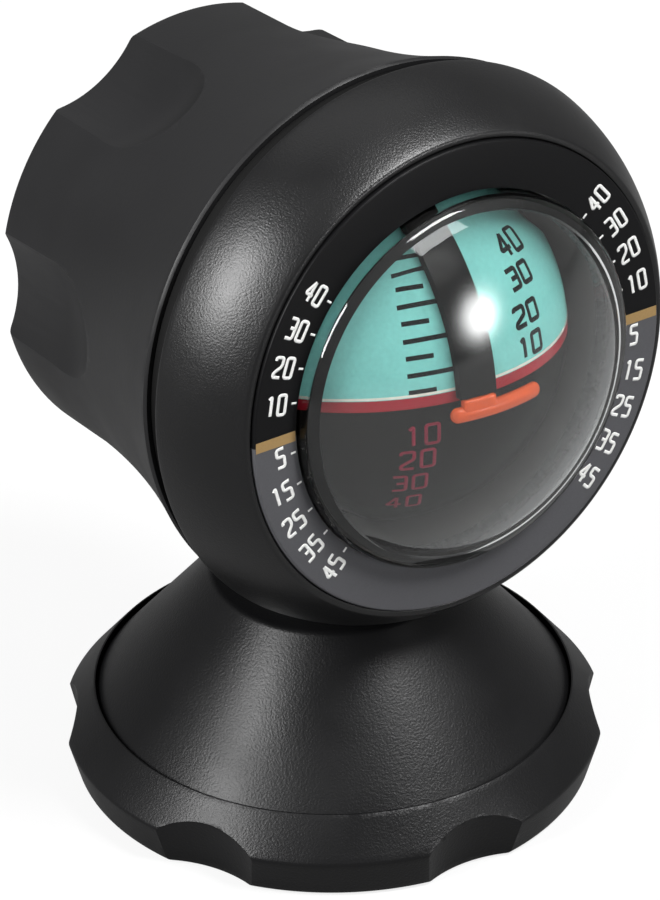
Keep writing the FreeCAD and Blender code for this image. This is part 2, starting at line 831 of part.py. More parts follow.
def roll_frame():
    """Ring around the ball with two hoops of ribs and a hub behind it."""
    size = frame_outer + overrun
    ring = half(frame_ring_width)
    rib = half(frame_rib_width)
    pattern = block(V(-size, -size, -ring), V(size, size, ring))
    pattern = pattern.fuse(block(V(-rib, -size, -size), V(rib, size, 0)))
    pattern = pattern.fuse(block(V(-size, -rib, -size), V(size, rib, 0)))
    pattern = pattern.fuse(rod(frame_hub_radius, -size, 0))
    frame = frame_skin().common(pattern)
    frame = frame.cut(arm_block(ring - arm_root, 0))
    hole = pivot_bush_radius + screw_gap
    frame = frame.cut(Part.makeCylinder(hole, size + size, V(-size, 0, 0), right))
    return frame.cut(rod(roll_axle_radius + screw_gap, -size, 0)).removeSplitter()


def roll_weight():
    """Two brass shoes behind the ring's lowest point, one each side of the rib."""
    rib = half(frame_rib_width)
    width = half(roll_weight_width)
    rear = -half(frame_ring_width)
    skin = frame_skin(roll_weight_thickness)
    low = -frame_outer - overrun
    shoes = []
    for near, far in ((-width, -rib), (rib, width)):
        room = block(V(near, low, rear - roll_weight_length), V(far, 0, rear))
        shoes.append(skin.common(room))
    return Part.makeCompound(shoes)


def pivot_bushes():
    """Two bushes in the frame's ring for the ball's axle."""
    low = frame_inner - pivot_bush_proud
    length = frame_thickness + pivot_bush_proud + pivot_bush_proud
    bushes = []
    for side in (-1, 1):
        start = V(side * low, 0, 0)
        bush = Part.makeCylinder(pivot_bush_radius, length, start, right * side)
        bore = Part.makeCylinder(ball_axle_radius + screw_gap, length, start, right * side)
        bushes.append(bush.cut(bore))
    return Part.makeCompound(bushes)


def pointer_top():
    """Height at which the arm ends and the pointer's stem begins."""
    return half(pointer_height) - pointer_drop + pointer_stem_height


def pointer_arm():
    """Black arm that curves from the ring's top down in front of the ball."""
    rear = half(frame_ring_width) - arm_root
    return frame_skin().common(arm_block(rear, pointer_top()))


def pointer():
    """Orange index with rounded ends and a short stem, at the arm's lower end."""
    radius = half(pointer_height)
    reach = half(pointer_length) - radius
    far = frame_outer + overrun
    shape = block(V(-reach, -radius - pointer_drop, 0), V(reach, radius - pointer_drop, far))
    for x in (-reach, reach):
        shape = shape.fuse(rod(radius, 0, far, x, -pointer_drop))
    stem = arm_block(0, -pointer_drop, pointer_stem_width)
    stem = stem.common(block(V(-far, -far, 0), V(far, pointer_top(), far)))
    shape = shape.fuse(stem)
    return frame_skin(frame_thickness + pointer_proud).common(shape).removeSplitter()


def card_half(tip):
    """Half of the hollow ball, turned about the card's upright axis, then tipped to its side."""
    edge = half(band_height)
    inside = card_radius - card_wall
    outer = angle_at(card_radius, edge)
    inner = angle_at(inside, edge)
    shell = turned([
        on_sphere(card_radius, outer), sphere_arc(card_radius, outer, 0),
        (0, inside), sphere_arc(inside, 0, inner),
    ])
    shell.rotate(origin, right, tip)
    return shell


def ball_upper():
    """Upper half of the hollow ball."""
    return card_half(-quarter_turn)


def ball_lower():
    """Lower half of the hollow ball."""
    return card_half(quarter_turn)


def horizon_band():
    """Band between the halves, with an inner rim that the halves sit over."""
    edge = half(band_height)
    rim = half(band_rim_height)
    rim_radius = card_radius - card_wall - slip_gap
    hollow = rim_radius - band_rim_depth
    outer = angle_at(card_radius, edge)
    inner = angle_at(rim_radius, edge)
    rim_end = angle_at(rim_radius, rim)
    across = half_turn - outer
    band = turned([
        (hollow, -rim), on_sphere(rim_radius, half_turn - rim_end),
        sphere_arc(rim_radius, half_turn - rim_end, half_turn - inner),
        on_sphere(card_radius, across), sphere_arc(card_radius, across, outer),
        on_sphere(rim_radius, inner), sphere_arc(rim_radius, inner, rim_end), (hollow, rim),
    ])
    band.rotate(origin, right, -quarter_turn)
    size = card_radius + overrun
    hole = ball_axle_radius + screw_gap
    return band.cut(Part.makeCylinder(hole, size + size, V(-size, 0, 0), right))


def ball_axle():
    """Transverse axle through the band, whose ends turn in the pivot bushes."""
    end = frame_outer
    return Part.makeCylinder(ball_axle_radius, end + end, V(-end, 0, 0), right)


def ball_weight():
    """Weight in the bottom of the ball that keeps it upright."""
    radius = card_radius - card_wall - slip_gap
    size = card_radius + overrun
    top = ball_weight_depth - radius
    return Part.makeSphere(radius).common(block(V(-size, -size, -size), V(size, top, size)))


pieces = [
    (FreeCAD.Placement(), [
        adhesive_pad, base_ring, base_plate, base_cone, base_screws, disc_spring,
        socket_ring, seat_cup,
    ]),
    (cap_place, [dust_cap]),
    (head_place, [
        ball_stud, neck_collar, stud_nut, rear_shell, shell_screws, chassis_ring, bezel,
        bezel_screws, dial_ring, lens, lens_gasket, capsule_bowl, roll_bush,
        roll_axle, axle_clip, roll_frame, roll_weight, pivot_bushes, pointer_arm, pointer,
    ]),
    (card_place, [ball_upper, ball_lower, horizon_band, ball_axle, ball_weight]),
]

os.makedirs("parts", exist_ok=True)
for place, makers in pieces:
    for make in makers:
        shape = make()
        shape.Placement = place * shape.Placement
        shape.exportStep("parts/" + make.__name__ + ".step")
        print(make.__name__, shape.isValid(), len(shape.Solids), round(shape.Volume, 1))
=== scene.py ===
import math

import bmesh
import bpy
from mathutils import Matrix, Vector


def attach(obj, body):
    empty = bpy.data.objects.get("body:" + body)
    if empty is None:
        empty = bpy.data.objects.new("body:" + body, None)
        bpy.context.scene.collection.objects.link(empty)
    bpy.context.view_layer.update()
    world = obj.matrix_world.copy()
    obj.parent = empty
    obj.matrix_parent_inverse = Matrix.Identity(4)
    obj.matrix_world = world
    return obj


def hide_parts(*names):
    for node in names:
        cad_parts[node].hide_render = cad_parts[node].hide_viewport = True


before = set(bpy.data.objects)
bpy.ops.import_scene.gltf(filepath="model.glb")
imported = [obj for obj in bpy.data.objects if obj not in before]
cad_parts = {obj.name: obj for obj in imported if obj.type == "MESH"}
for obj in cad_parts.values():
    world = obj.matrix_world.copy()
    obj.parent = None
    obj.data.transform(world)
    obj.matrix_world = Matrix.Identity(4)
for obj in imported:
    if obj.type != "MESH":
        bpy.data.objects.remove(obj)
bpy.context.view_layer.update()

scene = bpy.context.scene

# Table, light and camera. The part stands on a white card table, lit by soft
# boxes at its left, in front and behind, and by one round lamp.

MILLIMETRE = 0.001


def linear(hex_colour):
    """An sRGB hex colour as linear red, green, blue and alpha."""
    channels = []
    for start in (1, 3, 5):
        value = int(hex_colour[start:start + 2], 16) / 255
        channels.append(value / 12.92 if value <= 0.04045 else ((value + 0.055) / 1.055) ** 2.4)
    return (*channels, 1.0)


def add_node(tree, kind, settings=None, links=None):
    """Adds a shader node, sets its values and sockets, and links other outputs to its inputs."""
    node = tree.nodes.new(kind)
    for name, value in (settings or {}).items():
        if name in node.inputs:
            node.inputs[name].default_value = value
        else:
            setattr(node, name, value)
    for name, output in (links or {}).items():
        tree.links.new(output, node.inputs[name])
    return node


def new_material(name):
    """A new material with an empty node tree, and that tree."""
    material = bpy.data.materials.new(name)
    material.use_nodes = True
    material.node_tree.nodes.clear()
    return material, material.node_tree


def seen_white(tree, plain, mirrored, through, direct):
    """How bright the white surroundings look: plain to what they light, and more in a
    reflection, through clear plastic and to the camera."""
    path = add_node(tree, "ShaderNodeLightPath")
    level = None
    for ray, strength in (("Is Glossy Ray", mirrored), ("Is Transmission Ray", through),
                          ("Is Camera Ray", direct)):
        step = add_node(tree, "ShaderNodeMath", {"operation": "MULTIPLY_ADD"})
        tree.links.new(path.outputs[ray], step.inputs[0])
        step.inputs[1].default_value = strength - plain
        if level:
            tree.links.new(level, step.inputs[2])
        else:
            step.inputs[2].default_value = plain
        level = step.outputs[0]
    return level


def white_card():
    """Smooth card that takes the part's shadow and shows white behind it."""
    material, tree = new_material("white_card_table")
    card = add_node(tree, "ShaderNodeBsdfDiffuse", {"Color": linear("#747474")})
    glow = add_node(tree, "ShaderNodeEmission", {"Color": linear("#FFFFFF")},
                    {"Strength": seen_white(tree, 0.0, 0.1, 0.45, 0.8)})
    both = add_node(tree, "ShaderNodeAddShader")
    tree.links.new(card.outputs[0], both.inputs[0])
    tree.links.new(glow.outputs[0], both.inputs[1])
    add_node(tree, "ShaderNodeOutputMaterial", None, {"Surface": both.outputs[0]})
    return material


def make_object(name, shape, material):
    """Turns a bmesh into an object at the origin with one material."""
    mesh = bpy.data.meshes.new(name)
    shape.to_mesh(mesh)
    shape.free()
    mesh.materials.append(material)
    piece = bpy.data.objects.new(name, mesh)
    scene.collection.objects.link(piece)
    return piece


table_shape = bmesh.new()
bmesh.ops.create_grid(table_shape, x_segments=1, y_segments=1, size=3.0)
table = make_object("table", table_shape, white_card())

world = bpy.data.worlds.new("white_room")
world.use_nodes = True
world.node_tree.nodes.clear()
sky = add_node(world.node_tree, "ShaderNodeBackground", {"Color": linear("#FFFFFF")},
               {"Strength": seen_white(world.node_tree, 0.15, 0.28, 0.45, 1.0)})
add_node(world.node_tree, "ShaderNodeOutputWorld", None, {"Surface": sky.outputs[0]})
scene.world = world
scene.view_settings.view_transform = "Standard"


def soft_box(name, azimuth, elevation, distance, width, height, power):
    """A rectangular lamp that faces the part. Azimuth 0 is the dial's side, and 90 the
    reader's right."""
    lamp = bpy.data.lights.new(name, "AREA")
    lamp.shape = "RECTANGLE"
    lamp.size = width
    lamp.size_y = height
    lamp.energy = power
    holder = bpy.data.objects.new(name, lamp)
    turn, lift = math.radians(azimuth), math.radians(elevation)
    way = Vector((math.sin(turn) * math.cos(lift), -math.cos(turn) * math.cos(lift),
                  math.sin(lift)))
    aim = Vector((0, 0, 0.05))
    holder.location = aim + way * distance
    holder.rotation_euler = way.to_track_quat("Z", "Y").to_euler()
    scene.collection.objects.link(holder)
    return lamp


soft_box("left_soft_box", -91, 32, 0.9, 0.3, 0.45, 10.0)
soft_box("front_soft_box", 28, 55, 0.9, 0.4, 0.3, 9.0)
soft_box("rear_soft_box", 150, 70, 1.0, 0.9, 0.6, 1.2)

# A round lamp that fades to its edge: it makes the soft glow on the clear cover.
fade_power, glow_gain = 4.0, 4.0
glow_lamp = soft_box("round_lamp", 25, 8, 0.9, 0.5, 0.5, 8.0)
glow_lamp.shape = "DISK"
glow_lamp.use_nodes = True
glow_tree = glow_lamp.node_tree
glow_tree.nodes.clear()
on_lamp = add_node(glow_tree, "ShaderNodeNewGeometry")
to_edge = add_node(glow_tree, "ShaderNodeVectorMath", {"operation": "DISTANCE"})
glow_tree.links.new(on_lamp.outputs["Parametric"], to_edge.inputs[0])
to_edge.inputs[1].default_value = (0.5, 0.5, 0.0)
fade = add_node(glow_tree, "ShaderNodeMapRange",
                {"From Max": 0.5, "To Min": 1.0, "To Max": 0.0},
                {"Value": to_edge.outputs["Value"]})
falloff = add_node(glow_tree, "ShaderNodeMath", {"operation": "POWER"})
glow_tree.links.new(fade.outputs[0], falloff.inputs[0])
falloff.inputs[1].default_value = fade_power
gain = add_node(glow_tree, "ShaderNodeMath", {"operation": "MULTIPLY"})
glow_tree.links.new(falloff.outputs[0], gain.inputs[0])
gain.inputs[1].default_value = glow_gain
lit = add_node(glow_tree, "ShaderNodeEmission", None, {"Strength": gain.outputs[0]})
add_node(glow_tree, "ShaderNodeOutputLight", None, {"Surface": lit.outputs[0]})

# The camera looks at the part from the photograph's angle.
camera_data = bpy.data.cameras.new("camera")
camera_data.sensor_fit = "VERTICAL"
camera_data.sensor_height = 36.0
camera_data.sensor_width = 36.0
camera_data.lens = 239.94
camera_data.shift_x = -0.00213
camera_data.shift_y = 0.0527
camera_data.clip_start = 0.05
camera_data.clip_end = 20.0
camera = bpy.data.objects.new("camera", camera_data)
camera_spot = Vector((-0.372541, -0.516541, 0.441879))
camera_aim = Vector((0, 0, 0.03771))
look = (camera_aim - camera_spot).to_track_quat("-Z", "Y").to_matrix().to_4x4()
camera_roll = math.radians(-0.41)
camera.matrix_world = Matrix.Translation(camera_spot) @ look @ Matrix.Rotation(camera_roll, 4, "Z")
scene.collection.objects.link(camera)
scene.camera = camera

# Foam pad under the foot: black closed-cell polyethylene foam, die cut from
# sheet, with a contact adhesive film on both faces.


def finish_node(node, material):
    """Gives a carried-over CAD node its finished material."""
    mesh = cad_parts[node].data
    mesh.materials.clear()
    mesh.materials.append(material)


def foam():
    """Closed-cell foam: dark, quite matt, with cells about 0.6 mm wide that show at its edge."""
    material, tree = new_material("closed_cell_foam")
    place = add_node(tree, "ShaderNodeTexCoord")
    cells = add_node(tree, "ShaderNodeTexVoronoi", {"Scale": 1600.0},
                     {"Vector": place.outputs["Object"]})
    tone = add_node(tree, "ShaderNodeMix", {"data_type": "RGBA"},
                    {"Factor": cells.outputs["Distance"]})
    tone.inputs[6].default_value = linear("#1A1A1A")
    tone.inputs[7].default_value = linear("#2C2C2B")
    dent = add_node(tree, "ShaderNodeBump", {"Strength": 0.6, "Distance": 0.00008},
                    {"Height": cells.outputs["Distance"]})
    skin = add_node(tree, "ShaderNodeBsdfPrincipled", {"Roughness": 0.92},
                    {"Base Color": tone.outputs[2], "Normal": dent.outputs[0]})
    add_node(tree, "ShaderNodeOutputMaterial", None, {"Surface": skin.outputs[0]})
    return material


finish_node("adhesive_pad", foam())

# Closing plate and scalloped foot ring: black ABS, injection moulded. The ring
# has a spark-eroded satin face, and six shallow scallops to grip it by.


def moulded(name, colour, shade, roughness, grain, depth, sheen):
    """Moulded plastic: a grain from the mould (its size and depth in millimetres) breaks up
    the gloss, and the tone changes slowly, over about 14 mm, where the melt flowed."""
    material, tree = new_material(name)
    place = add_node(tree, "ShaderNodeTexCoord")
    spark = add_node(tree, "ShaderNodeTexNoise",
                     {"Scale": 1 / (grain * MILLIMETRE), "Detail": 2.0, "Roughness": 0.6},
                     {"Vector": place.outputs["Object"]})
    flow = add_node(tree, "ShaderNodeTexNoise", {"Scale": 70.0, "Detail": 3.0},
                    {"Vector": place.outputs["Object"]})
    tone = add_node(tree, "ShaderNodeMix", {"data_type": "RGBA"}, {"Factor": flow.outputs[0]})
    tone.inputs[6].default_value = linear(colour)
    tone.inputs[7].default_value = linear(shade)
    rough = add_node(tree, "ShaderNodeMapRange",
                     {"From Min": 0.3, "From Max": 0.7,
                      "To Min": roughness - 0.05, "To Max": roughness + 0.06},
                     {"Value": flow.outputs[0]})
    pits = add_node(tree, "ShaderNodeBump",
                    {"Strength": 0.5, "Distance": depth * MILLIMETRE},
                    {"Height": spark.outputs[0]})
    skin = add_node(tree, "ShaderNodeBsdfPrincipled",
                    {"Specular IOR Level": sheen, "IOR": 1.53},
                    {"Base Color": tone.outputs[2], "Roughness": rough.outputs[0],
                     "Normal": pits.outputs[0]})
    add_node(tree, "ShaderNodeOutputMaterial", None, {"Surface": skin.outputs[0]})
    return material


black_abs = moulded("spark_eroded_black_abs", "#0C0C0D", "#111112", 0.34, 0.30, 0.08, 0.22)
plain_abs = moulded("plain_black_abs", "#0B0B0B", "#101010", 0.5, 0.5, 0.02, 0.2)
finish_node("base_plate", plain_abs)

on_table = Matrix.Scale(MILLIMETRE, 4)


def draw_outline(shape, steps, arc_step):
    """Edges through an outline's (radius, height) corners. A step of (radius, height, degrees)
    is an arc about that centre, spun from the last point."""
    tip = shape.verts.new((steps[0][0], 0, steps[0][1]))
    for step in steps[1:]:
        if len(step) == 3:
            count = max(2, math.ceil(abs(step[2]) / arc_step))
            made = bmesh.ops.spin(shape, geom=[tip], cent=(step[0], 0, step[1]), axis=(0, 1, 0),
                                  angle=math.radians(step[2]), steps=count, use_merge=False)
            tip = made["geom_last"][0]
        else:
            corner = shape.verts.new((step[0], 0, step[1]))
            shape.edges.new((tip, corner))
            tip = corner
    return tip


def turn_outline(steps, closed=True, rounds=(), turns=192, arc_step=4, fine=0):
    """A solid of revolution from an outline in millimetres. rounds are (corner, radius) pairs:
    corners that get a small round before the outline is spun. fine, where it is given, is
    the longest edge that stays in the outline."""
    shape = bmesh.new()
    tip = draw_outline(shape, steps, arc_step)
    shape.verts.ensure_lookup_table()
    if closed:
        shape.edges.new((tip, shape.verts[0]))
    for corner, radius in rounds:
        spot = Vector((corner[0], 0, corner[1]))
        near = min(shape.verts, key=lambda v: (v.co - spot).length)
        bmesh.ops.bevel(shape, geom=[near], offset=radius, offset_type="OFFSET", segments=4,
                        profile=0.5, affect="VERTICES", material=-1, clamp_overlap=True)
    while fine and max(edge.calc_length() for edge in shape.edges) > fine:
        wide = [edge for edge in shape.edges if edge.calc_length() > fine]
        bmesh.ops.subdivide_edges(shape, edges=wide, cuts=1)
    bmesh.ops.spin(shape, geom=shape.verts[:] + shape.edges[:], cent=(0, 0, 0), axis=(0, 0, 1),
                   angle=math.tau, steps=turns, use_merge=True)
    bmesh.ops.remove_doubles(shape, verts=shape.verts, dist=0.0005)
    bmesh.ops.recalc_face_normals(shape, faces=shape.faces)
    return shape


def smooth(piece, degrees=28):
    """Shades a piece smooth, except across edges sharper than that angle."""
    for face in piece.data.polygons:
        face.use_smooth = True
    piece.data.set_sharp_from_angle(angle=math.radians(degrees))


def settle(piece, place, body, slot, *nodes):
    """Puts a piece in its place in its mesh, hangs it on the body it rides on, and hides the CAD
    nodes it replaces. slot is not used.
    """
    piece.data.transform(place)
    piece.data.update()
    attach(piece, body)
    if nodes:
        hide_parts(*nodes)


def cut_away(piece, cutters, bevel_width, bevel_angle=22):
    """Cuts the cutters out of a piece, rounds the new edges, and removes the cutters."""
    for number, cutter in enumerate(cutters):
        cut = piece.modifiers.new(f"cut_{number}", "BOOLEAN")
        cut.operation = "DIFFERENCE"
        cut.solver = "EXACT"
        cut.object = cutter
    if bevel_width:
        edge = piece.modifiers.new("edge_round", "BEVEL")
        edge.width = bevel_width
        edge.segments = 2
        edge.limit_method = "ANGLE"
        edge.angle_limit = math.radians(bevel_angle)
        edge.miter_outer = "MITER_ARC"
    bpy.context.view_layer.update()
    graph = bpy.context.evaluated_depsgraph_get()
    finished = bpy.data.meshes.new_from_object(piece.evaluated_get(graph))
    piece.modifiers.clear()
    old = piece.data
    piece.data = finished
    bpy.data.meshes.remove(old)
    finished.name = piece.name
    for cutter in cutters:
        bpy.data.objects.remove(cutter)


foot_bottom, foot_radius = 0.4, 66.4 / 2
scallop_radius, scallop_bite, scallop_lean, first_scallop = 16, 1.5, 10.5, 25.5


def foot_scallops():
    """Six leaning round cutters spread about the foot. Their tall sides are divided into
    short faces, which the cut leaves on the foot."""
    cutters = []
    for number in range(6):
        azimuth = math.radians(first_scallop + 60 * number)
        shape = bmesh.new()
        bmesh.ops.create_cone(shape, cap_ends=True, segments=160, radius1=scallop_radius,
                              radius2=scallop_radius, depth=26)
        tall = [edge for edge in shape.edges
                if abs(edge.verts[0].co.z - edge.verts[1].co.z) > 1]
        bmesh.ops.subdivide_edges(shape, edges=tall, cuts=25, use_grid_fill=True)
        cutter = make_object(f"scallop_cutter_{number}", shape, black_abs)
        reach = foot_radius - scallop_bite + scallop_radius
        cutter.data.transform(
            Matrix.Translation((reach * math.cos(azimuth), reach * math.sin(azimuth),
                                foot_bottom))
            @ Matrix.Rotation(math.radians(scallop_lean), 4,
                              (-math.sin(azimuth), math.cos(azimuth), 0)))
        cutters.append(cutter)
    return cutters


foot_outline = [
    (29.5, foot_bottom), (foot_radius, foot_bottom), (34.7, 5.7), (30.7, 10.6),
    (30.5, 10.6), (30.5, 8.8), (27.2, 8.8), (27.2, 7.0), (29.5, 7.0),
]
foot_shape = turn_outline(
    foot_outline, turns=240, fine=0.8,
    rounds=[((34.7, 5.7), 0.35), ((foot_radius, foot_bottom), 0.3)])
foot_ring = make_object("scalloped_foot_ring", foot_shape, black_abs)
cut_away(foot_ring, foot_scallops(), 0.22)
smooth(foot_ring, 30)
settle(foot_ring, on_table, "base", "base_ring", "base_ring")

# Cone over the foot: black ABS with the same satin face, dropped into the ring
# and screwed to the plate. Its top has a round recess for the ball joint.

cone_top = 31.06 / 2
cone_outline = [
    (12.0, 27.6), (cone_top, 27.6), (30.4, 9.64), (30.4, 8.8), (27.9, 8.8),
    (13.1, 25.2), (13.8, 25.2), (13.8, 10.5), (10.2, 10.5), (10.2, 21.6), (12.0, 21.6),
]
cone_shape = turn_outline(cone_outline, rounds=[((cone_top, 27.6), 0.55), ((12.0, 27.6), 0.25)])
cone_cover = make_object("cone_cover", cone_shape, black_abs)
smooth(cone_cover)
settle(cone_cover, on_table, "base", "base_cone", "base_cone")

# Ball joint: a black nylon ball stud in an acetal seat, held by a screwed ring
# and pressed by spring washers, in the cone's recess. The screws, axles and
# weights of the other sections get their plain finishes here too.


def turned_metal(name, colour, roughness):
    """Steel or brass: a metal with fine turning marks about 0.17 mm apart."""
    material, tree = new_material(name)
    place = add_node(tree, "ShaderNodeTexCoord")
    marks = add_node(tree, "ShaderNodeTexNoise", {"Scale": 6000.0, "Detail": 1.0},
                     {"Vector": place.outputs["Object"]})
    tone = add_node(tree, "ShaderNodeMapRange",
                    {"To Min": roughness - 0.08, "To Max": roughness + 0.1},
                    {"Value": marks.outputs[0]})
    dent = add_node(tree, "ShaderNodeBump", {"Strength": 0.3, "Distance": 0.00001},
                    {"Height": marks.outputs[0]})
    skin = add_node(tree, "ShaderNodeBsdfPrincipled",
                    {"Base Color": linear(colour), "Metallic": 1.0},
                    {"Roughness": tone.outputs[0], "Normal": dent.outputs[0]})
    add_node(tree, "ShaderNodeOutputMaterial", None, {"Surface": skin.outputs[0]})
    return material


zinc = turned_metal("zinc_plated_steel", "#B9BCC0", 0.34)
spring_steel = turned_metal("spring_steel", "#8C8F94", 0.3)
dark_steel = turned_metal("blackened_steel", "#3A3B3D", 0.4)
brass = turned_metal("turned_brass", "#B8954F", 0.32)
nylon = moulded("glass_filled_nylon", "#101010", "#191918", 0.45, 0.7, 0.03, 0.25)
acetal = moulded("black_acetal", "#0E0E0E", "#151515", 0.3, 1.2, 0.01, 0.5)
natural_acetal = moulded("natural_acetal", "#BDB9AE", "#C9C6BC", 0.35, 1.2, 0.01, 0.5)
for node, material in {
    "base_screws": zinc, "disc_spring": spring_steel, "socket_ring": acetal,
    "seat_cup": natural_acetal, "dust_cap": plain_abs, "ball_stud": nylon,
    "neck_collar": plain_abs, "stud_nut": zinc, "bezel_screws": zinc, "roll_bush": brass,
    "roll_axle": zinc, "axle_clip": spring_steel, "roll_weight": brass,
    "pivot_bushes": brass, "ball_axle": zinc, "ball_weight": dark_steel,
}.items():
    finish_node(node, material)

# Rear housing shell: charcoal grey ABS, moulded smooth. It flares to the front
# and has six thumb scallops round its rear edge, and a dished rear face.

# The head's pieces are drawn about the dial's axis. This puts them over the ball joint.
joint_height, rest_tilt, rest_roll, head_rise, head_forward = 20, -4.16, -1.99, 44.73, 9.68
head = (on_table @ Matrix.Translation((0, 0, joint_height))
        @ Matrix.Rotation(math.radians(rest_tilt), 4, "X")
        @ Matrix.Rotation(math.radians(90), 4, "X")
        @ Matrix.Rotation(math.radians(rest_roll), 4, "Z")
        @ Matrix.Translation((0, head_rise, head_forward)))
charcoal_abs = moulded("satin_charcoal_abs", "#1A1A1B", "#1F1F20", 0.42, 0.5, 0.02, 0.25)


def flare(inset=0.0, spots=14):
    """Points down the shell's flared side: an arc through its front, flare and waist."""
    (x1, y1), (x2, y2), (x3, y3) = (35.85, 3.05), (32.1, -9.9), (29.6, -27.9)
    d = 2 * (x1 * (y2 - y3) + x2 * (y3 - y1) + x3 * (y1 - y2))
    cx = ((x1**2 + y1**2) * (y2 - y3) + (x2**2 + y2**2) * (y3 - y1)
          + (x3**2 + y3**2) * (y1 - y2)) / d
    cy = ((x1**2 + y1**2) * (x3 - x2) + (x2**2 + y2**2) * (x1 - x3)
          + (x3**2 + y3**2) * (x2 - x1)) / d
    radius = math.hypot(x1 - cx, y1 - cy) + inset
    points = []
    for number in range(spots + 1):
        height = y1 - 0.4 + (y3 - y1 + 0.4) * number / spots
        points.append((cx - math.sqrt(radius**2 - (height - cy) ** 2), height))
    return points


shell_rear, shell_rear_radius, shell_wall, inner_flare_end = -38.24, 58.8 / 2, 2.2, -17
shell_outline = [
    (35.45, 3.05), *flare(), (shell_rear_radius, shell_rear), (25.0, shell_rear),
    (24.2, -37.44), (0, -37.44), (0, -35.24), (25.2, -35.24), (25.2, -20.95),
    *[spot for spot in reversed(flare(inset=shell_wall)) if spot[1] > inner_flare_end],
]
shell_shape = turn_outline(shell_outline, rounds=[((shell_rear_radius, shell_rear), 0.6)],
                           turns=240, fine=1.6)
housing_shell = make_object("housing_shell", shell_shape, charcoal_abs)
thumb_radius, thumb_bite, thumb_length, cutter_tail = 15, 2.6, 11.3, 14


def thumb_cutters():
    """Six round-nosed cutters along the shell's sides, from behind."""
    cutters = []
    for number in range(6):
        azimuth = math.radians(60 * number)
        reach = shell_rear_radius - thumb_bite + thumb_radius
        shape = bmesh.new()
        bmesh.ops.create_uvsphere(shape, u_segments=128, v_segments=64, radius=thumb_radius)
        bmesh.ops.bisect_plane(shape, geom=shape.verts[:] + shape.edges[:] + shape.faces[:],
                               plane_co=(0, 0, 0), plane_no=(0, 0, -1), clear_outer=True)
        rim = [edge for edge in shape.edges if edge.is_boundary]
        tube = bmesh.ops.extrude_edge_only(shape, edges=rim)
        low = [item for item in tube["geom"] if isinstance(item, bmesh.types.BMVert)]
        bmesh.ops.translate(shape, verts=low, vec=(0, 0, -cutter_tail))
        end = [edge for edge in shape.edges if edge.is_boundary]
        bmesh.ops.contextual_create(shape, geom=end)
        bmesh.ops.recalc_face_normals(shape, faces=shape.faces)
        cutter = make_object(f"thumb_cutter_{number}", shape, charcoal_abs)
        cutter.data.transform(Matrix.Translation(
            (reach * math.cos(azimuth), reach * math.sin(azimuth),
             shell_rear + thumb_length)))
        cutters.append(cutter)
    return cutters


cut_away(housing_shell, thumb_cutters(), 0.3)
smooth(housing_shell, 30)
settle(housing_shell, head, "head", "rear_shell", "rear_shell")

# Rear screws: three blackened pan-head screws with a cross recess, sunk in the
# shell's rear face.

screw_circle = 16
for number in range(3):
    azimuth = math.radians(90 + 120 * number)
    spot = Matrix.Translation((screw_circle * math.cos(azimuth),
                               screw_circle * math.sin(azimuth), 0))
    screw_shape = turn_outline([(0, -36.04), (0, -37.24), (0.9, -37.34), (2.15, -37.0),
                                (2.2, -36.04)], rounds=[((2.15, -37.0), 0.2)], turns=48)
    screw_head = make_object(f"rear_screw_{number}", screw_shape, dark_steel)
    slots = []
    for turn in (0, 90):
        bar = bmesh.new()
        bmesh.ops.create_cube(bar, size=1.0)
        bmesh.ops.transform(bar, verts=bar.verts, matrix=Matrix.Translation((0, 0, -37.2))
                            @ Matrix.Rotation(math.radians(turn + 20 * number), 4, "Z")
                            @ Matrix.Diagonal((2.6, 0.55, 1.2, 1)))
        slots.append(make_object(f"recess_{number}_{turn}", bar, dark_steel))
    cut_away(screw_head, slots, 0)
    smooth(screw_head)
    settle(screw_head, head @ spot, "head", "shell_screws", "shell_screws")

# Chassis ring: matt black ABS, injection moulded, with the bezel screwed to it.
# Its edge is the groove between bezel and shell.

chassis_shape = turn_outline([
    (27.7, 3.05), (29.3, 3.05), (29.3, -0.95), (30.9, -0.95), (30.9, 3.05), (34.8, 3.05),
    (34.8, 5.94), (30.9, 5.94), (30.9, 13.7), (28.9, 13.7), (28.9, 5.94), (27.7, 5.94)])
chassis = make_object("chassis_ring_turned", chassis_shape, plain_abs)
smooth(chassis)
settle(chassis, head, "head", "chassis_ring", "chassis_ring")

# Front bezel: black ABS with a spark-eroded satin face. It bulges a little, and
# its thin lip holds the printed ring.

bezel_wall = [(36.5, 5.94), (34.7, 12.12), (31.3, 17.6)]


def bulge(low, middle, high, spots=12):
    """Points on the gentle curve of the bezel's side."""
    points = []
    for number in range(spots + 1):
        t = number / spots
        points.append(tuple(
            low[i] * (1 - t) ** 2 + (4 * middle[i] - low[i] - high[i]) * (1 - t) * t
            + high[i] * t**2 for i in (0, 1)))
    return points


bezel_outline = [(31.0, 5.94), (32.4, 5.94), (32.4, 11.0), (34.0, 7.5), (34.4, 5.94),
                 *bulge(*bezel_wall), (30.5, 17.6), (30.5, 17.1), (31.0, 17.1)]
bezel_shape = turn_outline(
    bezel_outline, turns=240,
    rounds=[((36.5, 5.94), 0.55), ((31.3, 17.6), 0.3), ((30.5, 17.6), 0.2)])
bezel_abs = moulded("spark_eroded_bezel_abs", "#0A0A0B", "#0F0F10", 0.31, 0.26, 0.08, 0.4)
front_bezel = make_object("front_bezel", bezel_shape, bezel_abs)
smooth(front_bezel)
settle(front_bezel, head, "head", "bezel", "bezel")

# Printed scale ring: black styrene with a grey lower half, tan zero marks and
# white numerals, screen printed. Its edge stands just above the bezel's lip.


